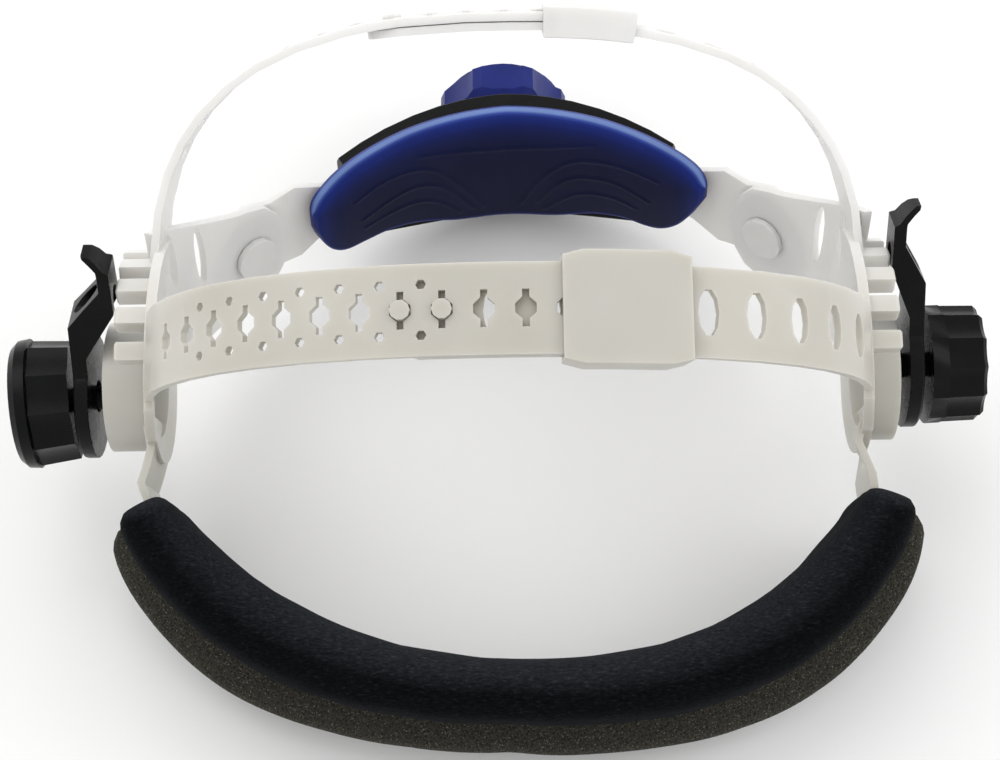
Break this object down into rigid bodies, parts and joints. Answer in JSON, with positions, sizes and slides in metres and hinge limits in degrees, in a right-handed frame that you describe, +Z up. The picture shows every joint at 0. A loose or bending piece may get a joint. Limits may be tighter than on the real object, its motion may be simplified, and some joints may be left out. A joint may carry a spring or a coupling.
{
  "type": "welding helmet headgear",
  "caption": "Ratchet head harness of a welding helmet: crossing crown straps, foam sweatband, blue nape pad with size dial, and tilt levers with clamp knobs at the side pivots.",
  "frame": {"origin": "middle of the footprint, on the surface that the headgear rests on", "axes": "+Z up over the wearer's crown; +Y towards the nape, so -Y is the forehead; +X towards the side that lies on the right in the picture; the pivot axis runs along X"},
  "size_m": [0.2402, 0.1862, 0.1302],
  "materials": {
    "milky_plastic": "milky, slightly translucent, satin",
    "black_plastic": "satin black moulded plastic",
    "blue_plastic": "blue moulded plastic, dark where it faces the head",
    "sweatband_fabric": "brushed knit over open-cell foam"
  },
  "bodies": {
    "harness": {"moulding_left": "milky_plastic", "moulding_right": "milky_plastic", "front_crown_sleeve": "milky_plastic", "rear_crown_sleeve": "milky_plastic", "nape_arm_left": "milky_plastic", "nape_arm_right": "milky_plastic", "nape_pad": "blue_plastic", "ratchet_housing": "black_plastic", "pivot_bolt_left": "black_plastic", "pivot_bolt_right": "black_plastic", "sweatband": "sweatband_fabric"},
    "lever_left": {"lever_left": "black_plastic"},
    "lever_right": {"lever_right": "black_plastic"},
    "knob_left": {"knob_left": "black_plastic"},
    "knob_right": {"knob_right": "black_plastic"},
    "size_dial": {"ratchet_knob": "blue_plastic"}
  },
  "joints": [
    {"name": "left_lever_tilt", "type": "hinge", "parent": "harness", "child": "lever_left", "pos_m": [-0.10079, -0.00915, 0.04281], "axis": [1, 0, 0], "range_deg": [-16.8, 29.4]},
    {"name": "right_lever_tilt", "type": "hinge", "parent": "harness", "child": "lever_right", "pos_m": [0.1023, -0.00499, 0.04475], "axis": [1, 0, 0], "range_deg": [-7.1, 39.1]},
    {"name": "left_knob_turn", "type": "hinge", "parent": "harness", "child": "knob_left", "pos_m": [-0.1045, -0.00995, 0.04281], "axis": [-0.9962, -0.0872, 0], "continuous": true},
    {"name": "right_knob_turn", "type": "hinge", "parent": "harness", "child": "knob_right", "pos_m": [0.10627, -0.00484, 0.04475], "axis": [0.9998, 0.0175, 0], "continuous": true},
    {"name": "size_dial_turn", "type": "hinge", "parent": "harness", "child": "size_dial", "pos_m": [0.00274, 0.07634, 0.02136], "axis": [0, 0.9659, -0.2588], "continuous": true}
  ]
}
